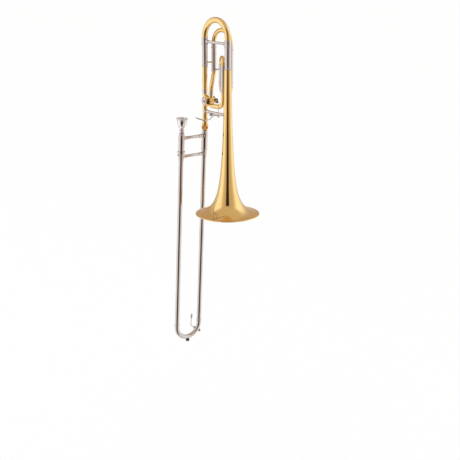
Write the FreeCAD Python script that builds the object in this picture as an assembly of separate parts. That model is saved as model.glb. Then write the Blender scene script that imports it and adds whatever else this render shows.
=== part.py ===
"""Tenor trombone with a rotary-valve F attachment.

Millimetres. The origin is the centre of the bell mouth and +Z runs up the bell's axis, so the
instrument hangs above its bell. +X points from the neckpipe to the bell axis. The hand slide runs
down the neckpipe's side, its second tube lies to -Y and the F tubing is wrapped on the +Y side.
"""
import FreeCAD, Part
import math
import os

Vec = FreeCAD.Vector
X_AXIS, Y_AXIS, Z_AXIS = Vec(1, 0, 0), Vec(0, 1, 0), Vec(0, 0, 1)
FIT = 0.05                      # radial running clearance of every sliding or turning fit

# ---- bell ----
BELL_RADIUS = 108.0
BELL_SCALE = 16.0               # radius = BELL_RADIUS * (1 + height / BELL_SCALE) ** -BELL_POWER
BELL_POWER = 0.65
BELL_WALL = 0.9
BELL_TOP = 488.0
BELL_SEAM = 120.0               # the spun flare is brazed to the bell's tail here
BEAD_RADIUS = 1.8
RIM_WIRE_RADIUS = 1.0

# ---- lay-out of the bell section ----
NECK = Vec(-118, 0, 0)          # axis of the neckpipe and of the tuning slide's first leg
BELL = Vec(0, 0, 0)
LEG_A = Vec(-102, 26, 0)        # F tuning slide, leg fed by the valve
LEG_C = Vec(-17, 26, 0)         # F tuning slide, leg that feeds the lower bow
LEG_D = Vec(-64, 26, 0)         # small F slide, leg fed by the lower bow
LEG_E = Vec(-23, 0, 0)          # small F slide, leg that returns to the valve
VALVE = Vec(-101, 0, 373)       # middle of the rotary valve, whose spindle is along Y
BRACE_HEIGHT = 336.0
TUNING_BRACE_HEIGHT = 569.6

# ---- tubes: outer radius, and the wall shared by all of them ----
WALL = 0.9
NECK_TUBE = 8.4                 # main bore tubing between valve and tuning slide
MAIN_LEG = 8.35                 # tuning-slide leg on the neck side
BELL_LEG = 9.95                 # tuning-slide leg on the bell side
MAIN_CROOK = 9.6
F_TUBE = 7.25
F_LEG = 7.2

# ---- heights of the tuning slides ----
MAIN_SLEEVE_TOP = 561.0
MAIN_CROOK_START = 584.0
F_SLEEVE_TOP = 550.0
F_CROOK_START = 561.0           # top of the ferrules; the half circle begins a little higher
F_CROOK_BEND = 566.5
A_SLEEVE_FOOT = 469.0
C_SLEEVE_FOOT = 439.0
LOWER_BOW_TOP = 424.0
SMALL_SLEEVE_TOP = 484.0
SMALL_CROOK_START = 495.0
D_SLEEVE_FOOT = 436.0
E_SLEEVE_FOOT = 419.0
MAIN_LEG_LENGTH = 70.0
F_LEG_LENGTH = 70.0
SMALL_LEG_LENGTH = 42.0

# ---- rotary valve ----
ROTOR_RADIUS = 13.5
CASING_RADIUS = 15.5
CASING_HALF = 14.0              # half of the casing's length along Y
PORT_REACH = CASING_RADIUS + 0.5    # from the spindle to where a port stub ends and its tube begins
KNUCKLE = 16.0                  # bend radius of the main tubes next to the valve
F_KNUCKLE = 10.0                # and of the F tubes
F_RETURN_SHIFT = 15.0           # the F return comes down this far to the bell's side of the spindle
F_FEED_DROP = 14.4              # and the F feed leaves this far below it
SPINDLE_RADIUS = 3.0
CAP_RADIUS = 11.5
ARM_RADIUS = 12.0               # from the spindle to the stop arm's pin
LINK_Y = 37.0                   # plane of the link rod

# ---- thumb lever ----
LEVER_PIVOT = Vec(-81, 0, 327)
LEVER_PIN_RADIUS = 1.5
LEVER_LINK_X = VALVE.x + ARM_RADIUS * math.sqrt(0.5)
LEVER_REST_DROP = ARM_RADIUS * math.sqrt(0.5)

# ---- hand slide: its own frame has +Z up the tubes and the origin on the neck-side tube ----
SLIDE_ORIGIN = Vec(NECK.x, 0, 300)
SLIDE_SPLAY = 3.1               # degrees between the slide and the bell axis
SLIDE_TWIST = -3.0              # degrees the slide is turned about its neck-side tube
SLIDE_WIDTH = 96.0
INNER_TUBE = 7.0
INNER_WALL = 0.6
STOCKING = 7.1
OUTER_TUBE = 7.65
OUTER_WALL = OUTER_TUBE - STOCKING - FIT
BARREL_TOP, BARREL_STEP, BARREL_FOOT = -30.0, -50.0, -99.5
BARREL_RADIUS = 10.2
INNER_BRACE_Z, OUTER_BRACE_Z = -48.0, -111.0
INNER_END = -724.0
OUTER_TOP = -88.0
CROOK_START = -738.0
BUMPER_FOOT = -803.0
STUD_Z = -104.0

# ---- water key, in a frame that sits on the end crook ----
KEY_ANGLE = 35.0                # degrees round the crook from its neck-side end
KEY_PIVOT_X = -12.5
KEY_PIN_RADIUS = 1.0
NIPPLE_TOP = 12.0


# ---- shared shapes ----
def at_height(axis, height):
    return Vec(axis.x, axis.y, height)


def rod(start, end, radius):
    """Solid cylinder from one point to another."""
    along = end - start
    return Part.makeCylinder(radius, along.Length, start, along)


def tube(start, end, outer, inner):
    """Hollow cylinder; the bore is cut past both ends."""
    past = (end - start).normalize()
    return rod(start, end, outer).cut(rod(start - past, end + past, inner))


def lathe(outline, base=Vec(0, 0, 0), axis=Z_AXIS):
    """Turn an outline of (radius, height) corners about an axis through base."""
    corners = [Vec(radius, 0, height) for radius, height in outline]
    face = Part.Face(Part.makePolygon(corners + corners[:1]))
    turned = face.revolve(Vec(0, 0, 0), Z_AXIS, 360)
    turned.Placement = FreeCAD.Placement(base, FreeCAD.Rotation(Z_AXIS, axis))
    return turned


def block(low, high):
    size = high - low
    return Part.makeBox(size.x, size.y, size.z, low)


def route(points, radii):
    """Straight runs through the points, with each corner rounded to its radius."""
    edges = []
    start = points[0]
    for before, corner, after, radius in zip(points, points[1:], points[2:], radii):
        back = (before - corner).normalize()
        ahead = (after - corner).normalize()
        half = back.getAngle(ahead) / 2
        first = corner + back * (radius / math.tan(half))
        last = corner + ahead * (radius / math.tan(half))
        centre = corner + (back + ahead).normalize() * (radius / math.sin(half))
        middle = centre + (corner - centre).normalize() * radius
        edges.append(Part.LineSegment(start, first).toShape())
        edges.append(Part.Arc(first, middle, last).toShape())
        start = last
    edges.append(Part.LineSegment(start, points[-1]).toShape())
    return Part.Wire(edges)


def half_turn(start, end, outward, straight):
    """A U-shaped path: a straight run, a half circle towards outward, and a straight run back."""
    lift = outward * straight
    centre = (start + end) * 0.5 + lift
    crown = centre + outward * ((end - start).Length / 2)
    return Part.Wire([Part.LineSegment(start, start + lift).toShape(),
                      Part.Arc(start + lift, crown, end + lift).toShape(),
                      Part.LineSegment(end + lift, end).toShape()])


def sweep(path, radius):
    first = path.OrderedEdges[0]
    start = first.valueAt(first.FirstParameter)
    section = Part.Wire(Part.makeCircle(radius, start, first.tangentAt(first.FirstParameter)))
    return path.makePipeShell([section], True, True)


def bent_tube(path, outer, wall):
    return sweep(path, outer).cut(sweep(path, outer - wall))


def together(*shapes):
    """Fuse into one solid."""
    return shapes[0].fuse(list(shapes[1:])).removeSplitter()


def group(*shapes):
    """Separate solids of one node."""
    return Part.makeCompound(list(shapes))


def save(node, shape):
    shape.exportStep("parts/" + node + ".step")


# ---- slide and key frames ----
SLIDE_FRAME = (FreeCAD.Placement(SLIDE_ORIGIN, FreeCAD.Rotation(Y_AXIS, SLIDE_SPLAY))
               * FreeCAD.Placement(Vec(0, 0, 0), FreeCAD.Rotation(Z_AXIS, SLIDE_TWIST)))
NECK_SIDE, MOUTH_SIDE = Vec(0, 0, 0), Vec(0, -SLIDE_WIDTH, 0)
SIDES = (NECK_SIDE, MOUTH_SIDE)
KEY_POINT = Vec(0, -SLIDE_WIDTH / 2 * (1 - math.cos(math.radians(KEY_ANGLE))),
                CROOK_START - SLIDE_WIDTH / 2 * math.sin(math.radians(KEY_ANGLE)))
KEY_FRAME = SLIDE_FRAME * FreeCAD.Placement(KEY_POINT, FreeCAD.Rotation(X_AXIS, -KEY_ANGLE))


def placed(frame, shape):
    moved = shape.copy()
    moved.Placement = frame * moved.Placement
    return moved


def save_in(frame, node, shape):
    save(node, placed(frame, shape))


# ---- bell ----
def bell_radius(height):
    return BELL_RADIUS * (1 + (height - BEAD_RADIUS) / BELL_SCALE) ** -BELL_POWER


def bell_point(height, depth):
    """A point on the flare, moved inwards along the normal by depth."""
    slope = -BELL_POWER * bell_radius(height) / (BELL_SCALE + height - BEAD_RADIUS)
    length = math.hypot(slope, 1)
    return Vec(bell_radius(height) - depth / length, 0, height + depth * slope / length)


def bell_curve(depth):
    steps = 16
    low = BEAD_RADIUS + 0.6
    heights = [low + (BELL_TOP - low) * (i / steps) ** 3 for i in range(steps + 1)]
    curve = Part.BSplineCurve()
    curve.interpolate([bell_point(height, depth) for height in heights])
    return curve


def turned_bell(depth_in):
    """The flare as a sheet of thickness depth_in, or filled to its axis when that is None."""
    outer = bell_curve(0)
    low_outer, top_outer = outer.StartPoint, outer.EndPoint
    if depth_in is None:
        corners = [top_outer, Vec(0, 0, top_outer.z), Vec(0, 0, low_outer.z), low_outer]
        edges = [outer.toShape(), Part.makePolygon(corners)]
    else:
        inner = bell_curve(depth_in)
        edges = [outer.toShape(), Part.makeLine(top_outer, inner.EndPoint), inner.toShape(),
                 Part.makeLine(inner.StartPoint, low_outer)]
    outline = Part.Wire(Part.__sortEdges__([e for part in edges for e in part.Edges]))
    return Part.Face(outline).revolve(Vec(0, 0, 0), Z_AXIS, 360)


bell_filled = turned_bell(None)
bead_centre = BELL_RADIUS - BEAD_RADIUS
bead = Part.makeTorus(bead_centre, BEAD_RADIUS, Vec(0, 0, BEAD_RADIUS))
rim_wire = Part.makeTorus(bead_centre, RIM_WIRE_RADIUS, Vec(0, 0, BEAD_RADIUS))
bell_sheet = turned_bell(BELL_WALL).fuse(bead).cut(rim_wire)
flare_room = rod(Z_AXIS * -10, Z_AXIS * BELL_SEAM, BELL_RADIUS * 2)
bell = bell_sheet.common(flare_room)
bell_tail = bell_sheet.cut(flare_room)


# ---- neckpipe and the socket that takes the hand slide ----
UP_SLIDE = SLIDE_FRAME.multVec(Z_AXIS) - SLIDE_ORIGIN


def on_neck_side(height):
    return SLIDE_ORIGIN + UP_SLIDE * height


def about_spindle(degrees, reach):
    """Point in the valve's middle plane; 0 degrees points to the bell and 90 degrees up."""
    angle = math.radians(degrees)
    return VALVE + Vec(math.cos(angle), 0, math.sin(angle)) * reach


def port(quarter, reach):
    """Point on the axis of port 0 (F return), 1 (main out), 2 (neckpipe) or 3 (F feed)."""
    return about_spindle(45 + 90 * quarter, reach)


def port_corner(quarter, axis):
    """Where a port's axis meets the upright axis that its tube turns on to."""
    return port(quarter, (axis.x - VALVE.x) / (port(quarter, 1).x - VALVE.x))


neck_path = route([port(2, PORT_REACH), port_corner(2, NECK), at_height(NECK, 300),
                   on_neck_side(-4)], [KNUCKLE, 150])
neckpipe = bent_tube(neck_path, NECK_TUBE, WALL)

TENON_FOOT_RADIUS, TENON_TOP_RADIUS, TENON_TOP = 8.3, 7.9, -6.0
SOCKET_FOOT = -24.0
neckpipe_receiver = lathe([(NECK_TUBE, 12), (9.0, 10), (9.0, SOCKET_FOOT),
                           (TENON_FOOT_RADIUS + FIT, SOCKET_FOOT), (TENON_TOP_RADIUS + FIT, -5),
                           (NECK_TUBE - WALL, -5), (NECK_TUBE - WALL, -4), (NECK_TUBE, -4)])
bell_lock_nut = lathe([(9.0 + FIT, -8), (10.0, -8), (10.4, -12), (11.2, -19), (11.2, -26),
                       (9.6, -27.5), (8.8, -27.5), (8.8, -24.6), (9.0 + FIT, -24.6)])

# ---- valve ----
PORT_TUBES = (F_TUBE, NECK_TUBE, NECK_TUBE, F_TUBE)


def along_y(from_y, to_y, radius):
    return rod(VALVE + Y_AXIS * from_y, VALVE + Y_AXIS * to_y, radius)


rotor_space = along_y(-CASING_HALF, CASING_HALF, ROTOR_RADIUS + FIT)
valve_casing = along_y(-CASING_HALF - 2, CASING_HALF, CASING_RADIUS)
for quarter, radius in enumerate(PORT_TUBES):
    valve_casing = valve_casing.fuse(rod(VALVE, port(quarter, PORT_REACH), radius + 0.8))
for quarter, radius in enumerate(PORT_TUBES):
    valve_casing = valve_casing.cut(rod(VALVE, port(quarter, PORT_REACH + 5), radius - WALL))
valve_casing = valve_casing.cut(rotor_space).removeSplitter()

back = VALVE - Y_AXIS * (CASING_HALF + 2)
valve_cap = lathe([(0, 0), (CAP_RADIUS, 0), (CAP_RADIUS, 3), (CAP_RADIUS - 1, 4.2), (6, 5.6),
                   (3, 6), (0, 6)], back, Y_AXIS * -1)
front = VALVE + Y_AXIS * CASING_HALF
bearing_plate = lathe([(SPINDLE_RADIUS + FIT, 0), (CASING_RADIUS, 0), (CASING_RADIUS, 2),
                       (12, 3), (7, 3), (7, 5), (SPINDLE_RADIUS + FIT, 5)], front, Y_AXIS)

STOP_LAYER = CASING_HALF + 6        # the stop collar turns between this height and STOP_LAYER + 4
bracket_low = VALVE + Vec(8.5, CASING_HALF, -6)
bearing_plate = together(bearing_plate,
                         block(bracket_low + Vec(0, 2, 0), bracket_low + Vec(12, 5, 12)))
stop_bumpers = group(*[
    together(block(VALVE + Vec(11, STOP_LAYER - 1, min(0.4 * up, 5.8 * up)),
                   VALVE + Vec(16, STOP_LAYER + 5, max(0.4 * up, 5.8 * up))),
             block(VALVE + Vec(14.5, STOP_LAYER - 1, min(0.4 * up, 7.4 * up)),
                   VALVE + Vec(21, STOP_LAYER + 5, max(0.4 * up, 7.4 * up)))) for up in (1, -1)])

passages = []
for side in (0, 180):
    centre = about_spindle(side, ROTOR_RADIUS * math.sqrt(2))
    passages.append(Part.makeTorus(ROTOR_RADIUS, 5.0, centre, Y_AXIS))
rotor = along_y(-CASING_HALF + 0.5, CASING_HALF - 0.5, ROTOR_RADIUS).cut(passages)
rotor = rotor.fuse(along_y(CASING_HALF - 0.5, STOP_LAYER, SPINDLE_RADIUS))

arm_pin = VALVE + Vec(LEVER_REST_DROP, 0, -LEVER_REST_DROP)
NOTCH_MARGIN = 28.5                 # degrees of the notch that the two bumpers fill, each way


def sector(first, last, radius, low_y, high_y):
    """Slice of a disc about the spindle between two angles."""
    start, end = about_spindle(first, radius), about_spindle(last, radius)
    middle = about_spindle((first + last) / 2, radius)
    face = Part.Face(Part.Wire([Part.makeLine(VALVE, start), Part.Arc(start, middle, end).toShape(),
                                Part.makeLine(end, VALVE)]))
    face.translate(Y_AXIS * low_y)
    return face.extrude(Y_AXIS * (high_y - low_y))


collar_disc = along_y(STOP_LAYER, STOP_LAYER + 4, 13.5)
stop_notch = sector(-90 - NOTCH_MARGIN, NOTCH_MARGIN, 30, STOP_LAYER, STOP_LAYER + 4)
stop_notch = stop_notch.cut(along_y(STOP_LAYER, STOP_LAYER + 4, 7))
ARM_LOW, ARM_HIGH = STOP_LAYER + 6, STOP_LAYER + 9
arm_at = arm_pin + Y_AXIS * ARM_LOW
arm_bar = block(Vec(0, ARM_LOW, -2.6), Vec(ARM_RADIUS, ARM_HIGH, 2.6))
arm_bar.Placement = FreeCAD.Placement(VALVE, FreeCAD.Rotation(Y_AXIS, 45))
PIN_RADIUS = 1.2
stop_arm = together(
    collar_disc.cut(stop_notch),
    along_y(STOP_LAYER + 4, ARM_HIGH, 5),
    arm_bar,
    rod(arm_at, arm_pin + Y_AXIS * ARM_HIGH, 2.6),
    rod(arm_pin + Y_AXIS * ARM_HIGH, arm_pin + Y_AXIS * (LINK_Y + 2), PIN_RADIUS))
stop_screws = group(
    lathe([(0, 0), (3.2, 0), (3.2, 1.2), (2.4, 1.8), (0, 1.8)], VALVE + Y_AXIS * ARM_HIGH, Y_AXIS),
    lathe([(0, 0), (2.3, 0), (2.3, 1), (1.6, 1.5), (0, 1.5)], arm_pin + Y_AXIS * (LINK_Y + 2),
          Y_AXIS))

# ---- tubes that leave the valve ----
out_path = route([port(1, PORT_REACH), port_corner(1, NECK), at_height(NECK, BELL_TOP + 4)],
                 [KNUCKLE])
main_out_tube = bent_tube(out_path, NECK_TUBE, WALL)

f_foot = Vec(VALVE.x + F_RETURN_SHIFT, 0, 0)
f_return_path = route([port(0, PORT_REACH), port_corner(0, f_foot), at_height(f_foot, 416),
                       at_height(LEG_A, 462), at_height(LEG_A, A_SLEEVE_FOOT + 6)],
                      [F_KNUCKLE, 30, 22])
f_return_tube = bent_tube(f_return_path, F_TUBE, WALL)

feed_corner = port(3, F_FEED_DROP / (VALVE.z - port(3, 1).z))
f_feed_path = route([port(3, PORT_REACH), feed_corner, at_height(LEG_E, feed_corner.z),
                     at_height(LEG_E, E_SLEEVE_FOOT + 5)], [F_KNUCKLE, 27])
f_feed_tube = bent_tube(f_feed_path, F_TUBE, WALL)

lower_bow_path = half_turn(at_height(LEG_D, D_SLEEVE_FOOT + 5), at_height(LEG_C, D_SLEEVE_FOOT + 5),
                           Z_AXIS * -1, D_SLEEVE_FOOT + 5 - LOWER_BOW_TOP)
f_lower_bow = bent_tube(lower_bow_path, F_TUBE, WALL)


def collar(axis, low, high, inner, outer):
    """Ring with softened edges on an upright tube."""
    soft = 0.5
    return lathe([(inner, low), (outer - soft, low), (outer, low + soft), (outer, high - soft),
                  (outer - soft, high), (inner, high)], axis)


def sleeve(axis, foot, top, bore, wall=0.9):
    """Outer tube of a tuning slide, with a bead at its foot and a wider one at its mouth."""
    outer = bore + wall
    return together(tube(at_height(axis, foot), at_height(axis, top), outer, bore),
                    collar(axis, foot, foot + 6, bore, outer + 0.8),
                    collar(axis, top - 4, top, bore, outer + 1.2))


main_sleeve_left = sleeve(NECK, BELL_TOP - 3, MAIN_SLEEVE_TOP, NECK_TUBE)
main_sleeve_right = sleeve(BELL, BELL_TOP, MAIN_SLEEVE_TOP, BELL_LEG + FIT)
f_sleeves = group(sleeve(LEG_A, A_SLEEVE_FOOT, F_SLEEVE_TOP, F_TUBE),
                  sleeve(LEG_C, C_SLEEVE_FOOT, F_SLEEVE_TOP, F_TUBE))
small_sleeve_d = sleeve(LEG_D, D_SLEEVE_FOOT, SMALL_SLEEVE_TOP, F_TUBE)
small_sleeve_e = sleeve(LEG_E, E_SLEEVE_FOOT, SMALL_SLEEVE_TOP, F_TUBE)
tube_ferrules = group(
    collar(NECK, 397, 409, NECK_TUBE, NECK_TUBE + 0.9),
    collar(f_foot, 394, 405, F_TUBE, F_TUBE + 0.9),
    collar(LEG_C, LOWER_BOW_TOP, C_SLEEVE_FOOT, F_TUBE, F_TUBE + 0.9),
    collar(LEG_D, LOWER_BOW_TOP, D_SLEEVE_FOOT, F_TUBE, F_TUBE + 0.9),
    collar(LEG_E, E_SLEEVE_FOOT - 10, E_SLEEVE_FOOT, F_TUBE, F_TUBE + 0.9))


# ---- tuning slides ----
def slide_leg(axis, top, length, outer):
    return tube(at_height(axis, top - length), at_height(axis, top), outer, outer - WALL)


def leg_ferrule(axis, low, high, leg, crook):
    """Ferrule that holds the leg below and the crook above."""
    middle = (low + high) / 2
    outer = max(leg, crook) + 0.9
    return lathe([(leg, low), (outer + 0.5, low), (outer + 0.5, low + 2), (outer, low + 3),
                  (outer, high - 0.5), (outer - 0.5, high), (crook, high), (crook, middle),
                  (leg, middle)], axis)


def crook(first, last, start, end_of_straight, outer):
    path = half_turn(at_height(first, start), at_height(last, start), Z_AXIS,
                     end_of_straight - start)
    return bent_tube(path, outer, WALL)


MAIN_FERRULE = (MAIN_SLEEVE_TOP + 0.5, MAIN_CROOK_START - 1)
main_join = sum(MAIN_FERRULE) / 2
tuning_crook = crook(NECK, BELL, main_join, MAIN_CROOK_START, MAIN_CROOK)
tuning_legs = group(slide_leg(NECK, main_join, MAIN_LEG_LENGTH, MAIN_LEG),
                    slide_leg(BELL, main_join, MAIN_LEG_LENGTH, BELL_LEG))
tuning_ferrules = group(leg_ferrule(NECK, *MAIN_FERRULE, MAIN_LEG, MAIN_CROOK),
                        leg_ferrule(BELL, *MAIN_FERRULE, BELL_LEG, MAIN_CROOK))

F_FERRULE = (F_SLEEVE_TOP + 0.5, F_CROOK_START + 1)
f_join = sum(F_FERRULE) / 2
f_crook = crook(LEG_A, LEG_C, f_join, F_CROOK_BEND, F_TUBE)
f_legs = group(*[slide_leg(leg, f_join, F_LEG_LENGTH, F_LEG) for leg in (LEG_A, LEG_C)])
f_crook_ferrules = group(*[leg_ferrule(leg, *F_FERRULE, F_LEG, F_TUBE)
                           for leg in (LEG_A, LEG_C)])

SMALL_FERRULE = (SMALL_SLEEVE_TOP + 0.5, SMALL_CROOK_START + 1)
small_join = sum(SMALL_FERRULE) / 2
small_crook = crook(LEG_D, LEG_E, small_join, SMALL_CROOK_START + 1.5, F_TUBE)
small_legs = group(*[slide_leg(leg, small_join, SMALL_LEG_LENGTH, F_LEG)
                     for leg in (LEG_D, LEG_E)])
small_crook_ferrules = group(*[leg_ferrule(leg, *SMALL_FERRULE, F_LEG, F_TUBE)
                               for leg in (LEG_D, LEG_E)])


# ---- braces ----
def flange(root, towards, bar, foot, length):
    """Trumpet-shaped foot of a brace: wide at root, narrow towards the bar."""
    return lathe([(bar, 0), (foot, 0), (foot, 3.0), (bar + 2.2, 5.5), (bar + 1.0, 9),
                  (bar + 0.8, length), (bar, length)], root, towards)


def brace(first, last, bar, foot, length, gap, neighbours):
    """A tube between two points and its two flanges, all cut back from the neighbours."""
    along = (last - first).normalize()
    bar_solid = tube(first, last, bar, bar - 1.2)
    feet = group(flange(first + along * gap, along, bar, foot, length),
                 flange(last - along * gap, along * -1, bar, foot, length))
    return bar_solid.cut(neighbours), feet.cut(neighbours)


BRACE_BAR = 4.5
neck_at_brace = rod(at_height(NECK, 300), at_height(NECK, 400), NECK_TUBE)
bell_brace, bell_brace_flanges = brace(
    at_height(NECK, BRACE_HEIGHT), at_height(BELL, BRACE_HEIGHT), BRACE_BAR, 8.0, 20, 4,
    [neck_at_brace, bell_filled])

ferrule_solids = [rod(at_height(axis, MAIN_FERRULE[0]), at_height(axis, MAIN_FERRULE[1]), radius)
                  for axis, radius in ((NECK, MAIN_CROOK + 1.4), (BELL, BELL_LEG + 1.4))]
tuning_brace, tuning_brace_flanges = brace(
    at_height(NECK, TUNING_BRACE_HEIGHT), at_height(BELL, TUNING_BRACE_HEIGHT), 4.4, 6.0, 12, 9,
    ferrule_solids)


def stay(first, last, height, first_radius, last_radius):
    """Thin rod soldered between two upright tubes, with a round foot on each."""
    start, end = at_height(first, height), at_height(last, height)
    along = (end - start).normalize()
    feet = [rod(start, start + along * (first_radius + 2), 2.4),
            rod(end, end - along * (last_radius + 2), 2.4)]
    return together(rod(start, end, 2.2), *feet).cut(
        [rod(start - Z_AXIS * 20, start + Z_AXIS * 20, first_radius),
         rod(end - Z_AXIS * 20, end + Z_AXIS * 20, last_radius)])


SLEEVE = F_TUBE + 0.9
wrap_stays = group(stay(NECK, LEG_A, 500, NECK_TUBE + 0.9, SLEEVE),
                   stay(LEG_A, LEG_D, 477.5, SLEEVE, SLEEVE),
                   stay(LEG_D, LEG_E, 450, SLEEVE, SLEEVE))


# ---- thumb lever ----
HUB_HALF = 8.5
LUG_GAP = HUB_HALF + 0.4
lugs = [block(LEVER_PIVOT + Vec(side * LUG_GAP + min(side, 0) * 2.2, -3.6, -3.6),
              LEVER_PIVOT + Vec(side * LUG_GAP + max(side, 0) * 2.2, 3.6, 10))
        for side in (-1, 1)]
lever_pin = rod(LEVER_PIVOT - X_AXIS * (LUG_GAP + 3), LEVER_PIVOT + X_AXIS * (LUG_GAP + 3),
                LEVER_PIN_RADIUS)
brace_bar_solid = rod(at_height(NECK, BRACE_HEIGHT), at_height(BELL, BRACE_HEIGHT), BRACE_BAR)
lever_saddle = group(*[lug.cut([brace_bar_solid, lever_pin]) for lug in lugs], lever_pin)

link_end = Vec(LEVER_LINK_X, LINK_Y, LEVER_PIVOT.z - LEVER_REST_DROP)
rest_tilt = math.degrees(math.atan2(LEVER_REST_DROP, LINK_Y))
SLOT_SHIFT = ARM_RADIUS * (1 - math.sqrt(0.5))      # sideways path of the link between its ends
LINK_RADIUS = 1.1
yoke = block(Vec(-4, -5, -1), Vec(SLOT_SHIFT + 4, 4, 1)).cut(
    block(Vec(-LINK_RADIUS - 0.5, -LINK_RADIUS - 1.5, -2),
          Vec(SLOT_SHIFT + LINK_RADIUS + 0.5, LINK_RADIUS + 0.6, 2)))
yoke.Placement = FreeCAD.Placement(link_end, FreeCAD.Rotation(X_AXIS, -rest_tilt))
arm_direction = (link_end - Vec(link_end.x, LEVER_PIVOT.y, LEVER_PIVOT.z)).normalize()
yoke_root = link_end - arm_direction * 4.6
hub_link_side = LEVER_PIVOT - X_AXIS * 6.6
link_arm = sweep(route([hub_link_side, hub_link_side + Vec(-1, 8, -1.8), yoke_root], [30]), 1.8)

KNEE = Vec(-103, -14, 306)
PADDLE_ROOT = Vec(-108, -21, 309)
PADDLE_TIP = Vec(-117, -36, 314.5)
thumb_arm = sweep(route([LEVER_PIVOT + X_AXIS * 6, LEVER_PIVOT + Vec(-2, -6, -13), KNEE,
                         PADDLE_ROOT + (PADDLE_TIP - PADDLE_ROOT) * 0.25], [7, 9]), 1.8)
hub_bore = rod(LEVER_PIVOT - X_AXIS * 30, LEVER_PIVOT + X_AXIS * 30, LEVER_PIN_RADIUS + FIT)
lever_hub = rod(LEVER_PIVOT - X_AXIS * HUB_HALF, LEVER_PIVOT + X_AXIS * HUB_HALF, 3.1)
thumb_lever = together(lever_hub, link_arm, thumb_arm, yoke).cut(hub_bore)


def paddle_shape():
    """Gently dished oval plate for the thumb."""
    length, width, thick = 26.0, 13.0, 2.0
    plate = Part.makeCylinder(width / 2, 30, Vec(width / 2, 0, -15))
    far_end = length - width / 2
    plate = plate.fuse([block(Vec(width / 2, -width / 2, -15), Vec(far_end, width / 2, 15)),
                        Part.makeCylinder(width / 2, 30, Vec(far_end, 0, -15))])
    dish = 70.0
    shell = rod(Vec(length / 2, -20, dish), Vec(length / 2, 20, dish), dish + thick / 2)
    shell = shell.cut(rod(Vec(length / 2, -20, dish), Vec(length / 2, 20, dish), dish - thick / 2))
    return plate.common(shell)


paddle_direction = (PADDLE_TIP - PADDLE_ROOT).normalize()
paddle_turn = math.degrees(math.atan2(paddle_direction.y, paddle_direction.x))
paddle_rise = math.degrees(math.asin(paddle_direction.z))
thumb_paddle = placed(
    FreeCAD.Placement(PADDLE_ROOT, FreeCAD.Rotation(Z_AXIS, paddle_turn))
    * FreeCAD.Placement(Vec(-1, 0, 0.4), FreeCAD.Rotation(Y_AXIS, -paddle_rise)), paddle_shape())
thumb_paddle = thumb_paddle.cut(thumb_lever)

lever_spring = group(*[Part.makeTorus(4.0, 0.5, LEVER_PIVOT + X_AXIS * (turn - 3.7), X_AXIS)
                       for turn in range(5)])

EYE_RADIUS = 3.0
rod_top = arm_pin + Y_AXIS * LINK_Y
link_rod = together(
    rod(rod_top - Y_AXIS * 1.7, rod_top + Y_AXIS * 1.7, EYE_RADIUS),
    rod(rod_top, link_end - Z_AXIS * 7, LINK_RADIUS),
    rod(link_end + Z_AXIS * 2.8, link_end + Z_AXIS * 5.2, 2.9),
    rod(link_end - Z_AXIS * 5.2, link_end - Z_AXIS * 2.8, 2.9)).cut(
        rod(rod_top - Y_AXIS * 5, rod_top + Y_AXIS * 5, PIN_RADIUS + FIT))


# ---- hand slide: inner part ----
slide_tenon = lathe([(6.4, TENON_TOP), (TENON_TOP_RADIUS, TENON_TOP),
                     (TENON_FOOT_RADIUS, SOCKET_FOOT - 0.2), (8.3, BARREL_TOP + 1),
                     (7.2, BARREL_TOP + 1), (7.2, BARREL_STEP), (6.4, BARREL_STEP)])
inner_tubes = group(*[
    together(tube(side + Z_AXIS * BARREL_STEP, side + Z_AXIS * INNER_END, INNER_TUBE,
                  INNER_TUBE - INNER_WALL),
             tube(side + Z_AXIS * (INNER_END + 120), side + Z_AXIS * INNER_END, STOCKING,
                  INNER_TUBE - INNER_WALL)) for side in SIDES])
BARREL_BORE = 9.2
RING_RADIUS = 10.8
barrel_outline = [(7.2, BARREL_TOP), (8.5, BARREL_TOP), (8.9, BARREL_TOP - 3), (9.9, BARREL_TOP - 5),
                  (BARREL_RADIUS, BARREL_TOP - 8), (BARREL_RADIUS, -89), (RING_RADIUS, -90),
                  (RING_RADIUS, BARREL_FOOT + 0.8), (RING_RADIUS - 0.6, BARREL_FOOT),
                  (BARREL_BORE, BARREL_FOOT), (BARREL_BORE, BARREL_STEP), (7.2, BARREL_STEP)]
cork_barrels = group(*[lathe(barrel_outline, side) for side in SIDES])
barrel_corks = group(*[tube(side + Z_AXIS * (OUTER_TOP + 0.5), side + Z_AXIS * BARREL_STEP,
                            BARREL_BORE, INNER_TUBE) for side in SIDES])

RECEIVER_TOP = -17.0
SHANK_TOP, SHANK_END = -13.0, -42.0
SHANK_TOP_RADIUS, SHANK_END_RADIUS = 6.2, 5.6
shank_slope = (SHANK_TOP_RADIUS - SHANK_END_RADIUS) / (SHANK_TOP - SHANK_END)


def shank_radius(height):
    return SHANK_TOP_RADIUS + (height - SHANK_TOP) * shank_slope


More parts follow.
